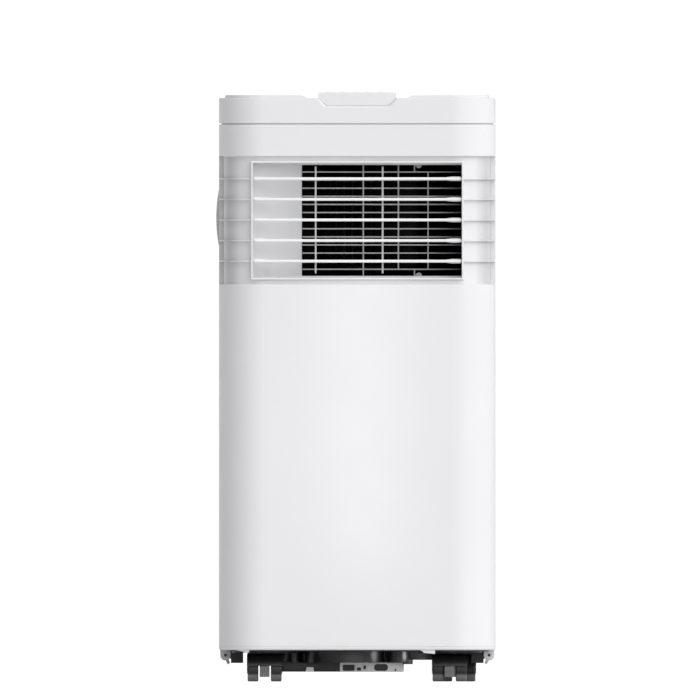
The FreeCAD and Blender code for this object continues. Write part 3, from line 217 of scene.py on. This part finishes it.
def sheet_metal(name, color, spangle=55):
    """Galvanised sheet: crystal spangle in tone and gloss, rolled streaks and bright edges."""
    g = Graph(name)
    bevel, rim = g.rounded(0.0003)
    crystal = g.cells(spangle, "Color")
    tone = g.add("ShaderNodeSeparateColor", {"Color": crystal}).outputs["Red"]
    streak = g.noise(240, 2, (1, 1, 0.04))
    body = g.mix(tone, shade(color, 0.72), shade(color, 1.15))
    body = g.mix(g.remap(streak, (0.35, 0.7), (0.0, 0.35)), body, shade(color, 0.6))
    g.set(Base_Color=g.mix(rim, body, shade(color, 1.35)), Metallic=0.9)
    g.set(Roughness=g.remap(tone, (0.0, 1.0), (0.28, 0.5)))
    g.set(Normal=g.bump(streak, 8e-6, bevel))
    return g.material


def fin_pack():
    """Aluminium fins edge on: dark slits between bright louvred edges, some bent."""
    g = Graph("aluminium_fins")
    slit = g.remap(g.waves(90, "X"), (0.25, 0.6), (0.0, 1.0))
    row = g.remap(g.waves(24, "Z"), (0.0, 0.2), (0.75, 1.0))
    tone = g.math("MULTIPLY", slit, row)
    bright = g.mix(g.noise(40, 3), (0.55, 0.56, 0.58), (0.74, 0.75, 0.76))
    g.set(Base_Color=g.mix(tone, (0.02, 0.02, 0.022), bright), Metallic=0.85)
    g.set(Roughness=g.remap(g.noise(300, 2), (0.3, 0.7), (0.3, 0.5)))
    g.set(Normal=g.bump(slit, 4e-4))
    return g.material


def copper_tube():
    g = Graph("copper_tube")
    tarnish = g.remap(g.noise(60, 5), (0.42, 0.68), (0.0, 1.0))
    g.set(Base_Color=g.mix(tarnish, (0.78, 0.36, 0.20), (0.34, 0.14, 0.075)), Metallic=1.0)
    g.set(Roughness=g.remap(tarnish, (0.0, 1.0), (0.2, 0.48)))
    g.set(Normal=g.bump(g.noise(700, 2, (1, 1, 0.1)), 5e-6))
    return g.material


def painted_steel(name, color, gloss):
    """Sprayed paint with orange peel and chips that show primer at the edges."""
    g = Graph(name)
    bevel, rim = g.rounded(0.0008)
    chips = g.math("MULTIPLY", rim, g.remap(g.noise(350, 4), (0.55, 0.62), (0.0, 1.0)))
    body = g.mix(g.noise(30, 3), shade(color, 0.85), shade(color, 1.2))
    g.set(Base_Color=g.mix(chips, body, (0.32, 0.31, 0.30)))
    g.set(Roughness=g.remap(g.noise(80, 3), (0.3, 0.7), (gloss - 0.05, gloss + 0.08)))
    g.set(Normal=g.bump(g.noise(420, 2), 1.5e-5, bevel), Coat_Weight=0.3, Coat_Roughness=0.15)
    return g.material


def rubber():
    g = Graph("black_rubber")
    bevel, rim = g.rounded(0.0005)
    bloom = g.remap(g.noise(120, 5), (0.45, 0.7), (0.0, 1.0))
    body = g.mix(bloom, (0.018, 0.018, 0.018), (0.045, 0.044, 0.042))
    g.set(Base_Color=g.mix(rim, body, (0.06, 0.06, 0.058)))
    g.set(Roughness=g.remap(bloom, (0.0, 1.0), (0.62, 0.82)))
    g.set(Normal=g.bump(g.noise(1500, 2), 2e-5, bevel), Specular_IOR_Level=0.35)
    return g.material


def filter_cloth():
    """Woven nylon mesh: crossing threads over dark gaps, with a little lint."""
    g = Graph("filter_cloth")
    across = g.waves(220, "X")
    down = g.waves(220, "Z")
    thread = g.remap(g.math("MAXIMUM", across, down), (0.55, 0.85), (0.0, 1.0))
    lint = g.remap(g.noise(35, 5), (0.5, 0.75), (0.0, 0.35))
    weave = g.mix(thread, (0.012, 0.012, 0.013), (0.14, 0.15, 0.16))
    g.set(Base_Color=g.mix(lint, weave, (0.30, 0.29, 0.27)), Roughness=0.75)
    g.set(Normal=g.bump(thread, 2e-4))
    return g.material


def circuit_board():
    """Green solder mask over copper tracks with pale legend marks."""
    g = Graph("circuit_board")
    tracks = g.remap(g.cells(260), (0.18, 0.24), (1.0, 0.0))
    runs = g.remap(g.waves(130, "DIAGONAL", "SAW"), (0.42, 0.5), (0.0, 0.5))
    laid = g.math("MAXIMUM", tracks, runs)
    g.set(Base_Color=g.mix(laid, (0.010, 0.075, 0.030), (0.030, 0.150, 0.055)), Roughness=0.32)
    g.set(Normal=g.bump(laid, 4e-5))
    return g.material


def smoked_lens():
    g = Graph("smoked_lens")
    wipe = g.noise(55, 4, (1, 0.3, 1))
    g.set(Base_Color=g.mix(wipe, (0.006, 0.007, 0.009), (0.012, 0.013, 0.016)))
    g.set(Roughness=g.remap(wipe, (0.35, 0.7), (0.05, 0.14)))
    g.set(Normal=g.bump(g.noise(30, 1), 1e-5), Coat_Weight=0.6, Coat_Roughness=0.04)
    return g.material


def lit_segment():
    """Back-lit figure: brightest in the middle of each bar."""
    g = Graph("lit_segment")
    glow = g.remap(g.noise(900, 1), (0.3, 0.7), (0.7, 1.0))
    g.set(Base_Color=(0.02, 0.03, 0.04, 1.0), Roughness=0.3)
    g.set(Emission_Color=g.mix(glow, (0.25, 0.55, 0.80), (0.55, 0.85, 1.0)))
    g.set(Emission_Strength=0.9)
    return g.material


def printed_ink():
    g = Graph("printed_ink")
    g.set(Base_Color=g.mix(g.noise(2600, 3), shade(INK, 0.8), shade(INK, 1.25)))
    g.set(Roughness=g.remap(g.noise(1800, 2), (0.3, 0.7), (0.45, 0.6)))
    g.set(Normal=g.bump(g.noise(4000, 1), 4e-6))
    return g.material


def tread_wear_and_floor_sheen():
    """Caster nylon: black above, grey and dusty on the arc that meets the floor, lightened there by
    rubbed wear and by a painted reflection of the floor.
    """
    g = Graph("tread_wear_and_floor_sheen")
    bevel, rim = g.rounded(0.0006)
    # painted reflection of the floor: the wheel lighter towards its bottom, mixed with the real dust
    # and scuffs
    low = g.remap(g.place("Z"), (TREAD_SHEEN_NONE_Z, TREAD_SHEEN_FULL_Z), (0.0, 1.0))
    dust = g.remap(g.noise(180, 5), (0.35, 0.72), (0.55, 1.0))
    scuffs = g.remap(g.noise(420, 3, (0.15, 1, 1)), (0.52, 0.66), (0.0, 0.25))
    # this rubbed grey also carries the painted reflection of the floor
    rubbed = g.mix(dust, (0.14, 0.14, 0.145), (0.23, 0.23, 0.235))
    body = g.mix(scuffs, CASTER_BLACK, (0.05, 0.05, 0.052))
    body = g.mix(low, body, rubbed)
    g.set(Base_Color=g.mix(g.math("MULTIPLY", rim, 0.5), body, (0.03, 0.03, 0.031)))
    g.set(Roughness=g.remap(dust, (0.0, 1.0), (0.34, 0.58)))
    g.set(Normal=g.bump(scuffs, 1.2e-5, bevel))
    return g.material


# ---- which node gets which material ------------------------------------------------------


def node_names(*starts):
    return [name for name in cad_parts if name.startswith(starts)]


def paint(material, names):
    for name in names:
        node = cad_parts[name]
        node.data.materials.clear()
        node.data.materials.append(material)


def paint_caster_blocks_painted_light():
    """The block between each caster's wheels gets a paler copy of the caster black: painted light on
    its front face.
    """
    # painted light: a grey copy of the caster black stands in for the light on the block's front
    grey = moulded("caster_block_painted_light", BLOCK_PAINTED_LIGHT_GREY, 0.5, grain=900, depth=1e-5, drift=0.06)
    for name in node_names("caster_"):
        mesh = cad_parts[name].data
        mesh.materials.append(grey)
        low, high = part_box(name)
        middle = (low.x + high.x) / 2
        for face in mesh.polygons:
            if face.center.z < BLOCK_TOP and abs(face.center.x - middle) < BLOCK_HALF_W:
                face.material_index = 1


def dress_nodes():
    paint(band_plastic_painted_shade(), ["outlet_surround"])
    paint(cabinet_plastic(), ["front_panel", "upper_fascia", "top_cover", "control_panel",
                              "rear_housing", "exhaust_collar", "cord_hooks", "upper_grille",
                              "lower_grille"])
    paint(moulded("louvre_plastic", LOUVRE, 0.3, edge=0.0004), node_names("louvre_"))
    # painted light: the duct's walls get a paler copy of the cabinet white
    paint(moulded("duct_plastic_painted_light", DUCT_WHITE_PAINTED_LIGHT, 0.4, edge=0.0006), ["outlet_duct"])
    paint(moulded("link_plastic", LINK, 0.4, edge=0.0003), ["link_bars"])
    paint(moulded("button_plastic", LOUVRE, 0.28, edge=0.0003),
          [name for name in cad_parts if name.endswith("_button")])
    paint(moulded("grip_plastic", GRIP, 0.5, grain=1100, depth=1.5e-5),
          node_names("side_handle"))
    paint(moulded("guard_plastic", GUARD, 0.42, edge=0.0005), ["outlet_guard"])
    # painted shade: the inner parts darker than their black plastic, so they stay unlit behind the
    # guard
    paint(dulled(moulded("inner_black_painted_shade", PITCH_BLACK_PAINTED_SHADE, 0.6, grain=900, depth=1.5e-5, wear=1.5), 0.1),
          ["evaporator_scroll", "condenser_scroll", "evaporator_blower", "condenser_blower",
           "mid_deck"])
    paint(moulded("base_plastic", BASE_BLACK, 0.3, grain=800, depth=1e-5, wear=2.2, drift=0.12),
          ["base_pan", "drain_sump"])
    paint(moulded("caster_plastic", CASTER_BLACK, 0.42, grain=900, depth=1e-5, wear=2.2,
                  drift=0.1), node_names("caster_"))
    paint(tread_wear_and_floor_sheen(), node_names("wheel_"))
    paint_caster_blocks_painted_light()
    paint(sheet_metal("galvanised_sheet", ZINC), ["compressor_bracket", "control_box"])
    paint(painted_steel("screw_steel", SCREW_BLACK, 0.38), ["housing_screws"])
    paint(painted_steel("compressor_paint", TANK_BLACK, 0.28), ["compressor"])
    paint(painted_steel("motor_paint", MOTOR_GREY, 0.4),
          ["evaporator_motor", "condenser_motor"])
    paint(fin_pack(), ["evaporator_coil", "condenser_coil"])
    paint(copper_tube(), ["refrigerant_pipes"])
    paint(rubber(), ["compressor_grommets", "cord_gland", "upper_drain_plug",
                     "lower_drain_plug"])
    paint(filter_cloth(), ["upper_filter_mesh"])
    paint(circuit_board(), ["control_board"])
    paint(smoked_lens(), ["display_lens"])


# ---- printed and lit details -------------------------------------------------------------


def bar(centre, size, turn=0.0):
    """Corners of a flat bar, in millimetres, turned by turn degrees about the origin."""
    (cx, cy), (w, h) = centre, (size[0] / 2, size[1] / 2)
    c, s = math.cos(math.radians(turn)), math.sin(math.radians(turn))
    corners = [(cx - w, cy - h), (cx + w, cy - h), (cx + w, cy + h), (cx - w, cy + h)]
    return [(c * x - s * y, s * x + c * y) for x, y in corners]


def arc(radius, width, start, end, steps=20):
    """A flat ring segment between two angles in degrees."""
    angles = [math.radians(start + (end - start) * i / steps) for i in range(steps + 1)]
    outer, inner = radius + width / 2, radius - width / 2
    there = [(outer * math.cos(a), outer * math.sin(a)) for a in angles]
    back = [(inner * math.cos(a), inner * math.sin(a)) for a in reversed(angles)]
    return there + back


def petal(turn, steps=14):
    """One fan blade: a leaf that starts at the hub."""
    c, s = math.cos(math.radians(turn)), math.sin(math.radians(turn))
    points = []
    for i in range(steps):
        a = 2 * math.pi * i / steps
        x, y = 1.45 + 0.95 * math.cos(a), 0.25 + 0.62 * math.sin(a)
        points.append((c * x - s * y, s * x + c * y))
    return points


ICON_SINK, ICON_TOP = 0.55 * MM, 0.05 * MM  # how far an icon's foot and face lie below the button

ICONS = {
    "power_button": [arc(1.9, 0.42, 125, 415), bar((0, 1.7), (0.42, 1.9))],
    "mode_button": [bar((0, 0), (0.38, 4.4), turn) for turn in (0, 60, 120)],
    "fan_speed_button": [petal(turn) for turn in (0, 120, 240)],
    "temperature_down_button": [bar((0, 0), (3.6, 0.5))],
    "temperature_up_button": [bar((0, 0), (3.6, 0.5)), bar((0, 1.03), (0.5, 1.56)),
                              bar((0, -1.03), (0.5, 1.56))],
}


def thin_piece(name, loops, origin, z, material, body):
    """Flat shapes given in millimetres about origin, raised between two heights in metres."""
    shape = bmesh.new()
    for loop in loops:
        low = [shape.verts.new((origin[0] + x * MM, origin[1] + y * MM, z[0])) for x, y in loop]
        face = shape.faces.new(low)
        grown = bmesh.ops.extrude_face_region(shape, geom=[face])["geom"]
        risen = [v for v in grown if isinstance(v, bmesh.types.BMVert)]
        bmesh.ops.translate(shape, verts=risen, vec=(0, 0, z[1] - z[0]))
    bmesh.ops.recalc_face_normals(shape, faces=shape.faces)
    mesh = bpy.data.meshes.new(name)
    shape.to_mesh(mesh)
    shape.free()
    mesh.materials.append(material)
    piece = bpy.data.objects.new(name, mesh)
    bpy.context.scene.collection.objects.link(piece)
    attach(piece, body)
    return piece


def middle_of(node):
    low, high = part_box(node)
    return (low + high) / 2, high.z


def add_button_icons(ink):
    for button, loops in ICONS.items():
        centre, top = middle_of(button)
        z = (top - ICON_SINK, top - ICON_TOP)
        piece = thin_piece(f"{button}_icon", loops, centre, z, ink, f"{button}_cap")


SEGMENTS = {
    "a": bar((0, 3.4), (2.6, 0.6)),
    "b": bar((1.7, 1.7), (0.6, 2.6)),
    "c": bar((1.7, -1.7), (0.6, 2.6)),
    "d": bar((0, -3.4), (2.6, 0.6)),
    "e": bar((-1.7, -1.7), (0.6, 2.6)),
    "f": bar((-1.7, 1.7), (0.6, 2.6)),
    "g": bar((0, 0), (2.6, 0.6)),
}
DIGITS = {"2": "abged", "4": "fgbc"}
DIGIT_X = {"2": -4.0, "4": 4.0}  # millimetres from the middle of the window
LAMP_COUNT, LAMP_PITCH, LAMP_Y = 4, 7.0, -13.5


def add_display(lit, ink):
    """Two lit figures in the window and four small lamps beside it."""
    centre, top = middle_of("display_lens")
    for figure, segments in DIGITS.items():
        loops = [SEGMENTS[segment] for segment in segments]
        at = centre + Vector((DIGIT_X[figure] * MM, 0, 0))
        piece = thin_piece(f"display_figure_{figure}", loops, at,
                           (top - 0.02 * MM, top + 0.02 * MM), lit, "chassis")
    deck_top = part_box("control_panel")[1].z
    for index in range(LAMP_COUNT):
        across = (index - (LAMP_COUNT - 1) / 2) * LAMP_PITCH
        at = centre + Vector((across * MM, LAMP_Y * MM, 0))
        lamp = thin_piece(f"lamp_{index + 1}", [arc(0.55, 1.0, 0, 360, 16)], at,
                          (deck_top - 0.05 * MM, deck_top + 0.04 * MM), ink, "chassis")


# ---- stage -------------------------------------------------------------------------------

FLOOR_HALF = 20.0

# azimuth from the front towards the right, elevation and half-width in degrees, and strength
WORLD_GLOWS = [(-25, 18, 38, 0.4), (25, 25, 50, 1.6), (60, 8, 55, 0.95), (105, 5, 45, 0.95),
               (140, 0, 40, 0.6), (-140, 0, 38, 1.05), (0, 90, 65, 0.85)]
ROOM_DIM = 0.05  # light from where no glow reaches
BACKDROP = 1.05  # what the camera sees behind the object

STRIP_AT, STRIP_SIZE, STRIP_POWER = (0.006, -0.45, 0.34), (0.03, 0.42), 0.55
KICKER_AT, KICKER_SIZE, KICKER_POWER = (0.078, -0.104, 0.030), (0.02, 0.01), 0.008
BULGES_AT = (0.01, -0.10, 0.029)


def add_floor():
    """Plain pale floor that glows a little, so that it ends in the white of the background."""
    g = Graph("studio_floor")
    paper = g.noise(3, 3)
    g.set(Base_Color=g.mix(paper, (0.66, 0.66, 0.66), (0.70, 0.70, 0.70)), Roughness=0.8)
    g.set(Normal=g.bump(g.noise(500, 2), 2e-5))
    g.set(Emission_Color=(1, 1, 1, 1), Emission_Strength=0.06)
    mesh = bpy.data.meshes.new("floor")
    corners = [(-1, -1), (1, -1), (1, 1), (-1, 1)]
    mesh.from_pydata([(x * FLOOR_HALF, y * FLOOR_HALF, 0) for x, y in corners], [], [(0, 1, 2, 3)])
    mesh.materials.append(g.material)
    floor = bpy.data.objects.new("floor", mesh)
    bpy.context.scene.collection.objects.link(floor)



def glow(tree, direction, azimuth, elevation, spread, strength):
    """Socket that is strength in one direction and fades smoothly to nothing at spread."""
    turn, rise = math.radians(azimuth), math.radians(elevation)
    level = math.cos(rise)
    toward = tree.nodes.new("ShaderNodeVectorMath")
    toward.operation = "DOT_PRODUCT"
    toward.inputs[1].default_value = (math.sin(turn) * level, -math.cos(turn) * level,
                                      math.sin(rise))
    tree.links.new(direction, toward.inputs[0])
    fade = tree.nodes.new("ShaderNodeMapRange")
    fade.interpolation_type = "SMOOTHSTEP"
    fade.inputs["From Min"].default_value = math.cos(math.radians(spread))
    fade.inputs["From Max"].default_value = 1.0
    fade.inputs["To Max"].default_value = strength
    tree.links.new(toward.outputs["Value"], fade.inputs["Value"])
    return fade.outputs["Result"]


def room_strength(tree):
    """Dim room with every glow added to it."""
    direction = tree.nodes.new("ShaderNodeTexCoord").outputs["Generated"]
    total = None
    for settings in WORLD_GLOWS:
        add = tree.nodes.new("ShaderNodeMath")
        add.inputs[0].default_value = ROOM_DIM
        if total is not None:
            tree.links.new(total, add.inputs[0])
        tree.links.new(glow(tree, direction, *settings), add.inputs[1])
        total = add.outputs["Value"]
    return total


def white_background(tree):
    background = tree.nodes.new("ShaderNodeBackground")
    background.inputs["Color"].default_value = (1, 1, 1, 1)
    return background


def add_world():
    """Dark room with soft glows round it. The camera sees plain white behind the object."""
    world = bpy.data.worlds.new("studio")
    world.use_nodes = True
    bpy.context.scene.world = world
    tree = world.node_tree
    tree.nodes.clear()
    link = tree.links.new
    room = white_background(tree)
    link(room_strength(tree), room.inputs["Strength"])
    backdrop = white_background(tree)
    backdrop.inputs["Strength"].default_value = BACKDROP
    path = tree.nodes.new("ShaderNodeLightPath")
    choose = tree.nodes.new("ShaderNodeMixShader")
    out = tree.nodes.new("ShaderNodeOutputWorld")
    link(path.outputs["Is Camera Ray"], choose.inputs["Fac"])
    link(room.outputs["Background"], choose.inputs[1])
    link(backdrop.outputs["Background"], choose.inputs[2])
    link(choose.outputs["Shader"], out.inputs["Surface"])


def add_light(name, place, target, size, power):
    """Soft rectangular light that the camera doesn't see."""
    light = bpy.data.lights.new(name, "AREA")
    light.shape = "RECTANGLE"
    light.size, light.size_y = size
    light.energy = power
    lamp = bpy.data.objects.new(name, light)
    lamp.location = place
    aim = Vector(target) - Vector(place)
    lamp.rotation_euler = aim.to_track_quat("-Z", "Y").to_euler()
    lamp.visible_camera = False
    bpy.context.scene.collection.objects.link(lamp)
    return lamp


def add_lights():
    """A tall reflection on the lower panel, and highlights on the round bulges under the base."""
    x, _, z = STRIP_AT
    strip = add_light("panel_strip", STRIP_AT, (x, 0, z), STRIP_SIZE, STRIP_POWER)
    strip.visible_diffuse = False
    add_light("base_kicker", KICKER_AT, BULGES_AT, KICKER_SIZE, KICKER_POWER)


def add_camera():
    """Parallel view, square on to the front."""
    camera = bpy.data.cameras.new("camera")
    camera.type = "ORTHO"
    camera.ortho_scale = VIEW_WIDTH
    holder = bpy.data.objects.new("camera", camera)
    holder.location = CAMERA_PLACE
    holder.rotation_euler = (math.radians(90), 0, 0)
    bpy.context.scene.collection.objects.link(holder)
    bpy.context.scene.camera = holder


# ---- the scene ---------------------------------------------------------------------------

bpy.context.scene.view_settings.view_transform = "Standard"
dress_nodes()
add_button_icons(printed_ink())
add_display(lit_segment(), printed_ink())
add_floor()
add_world()
add_lights()
add_camera()
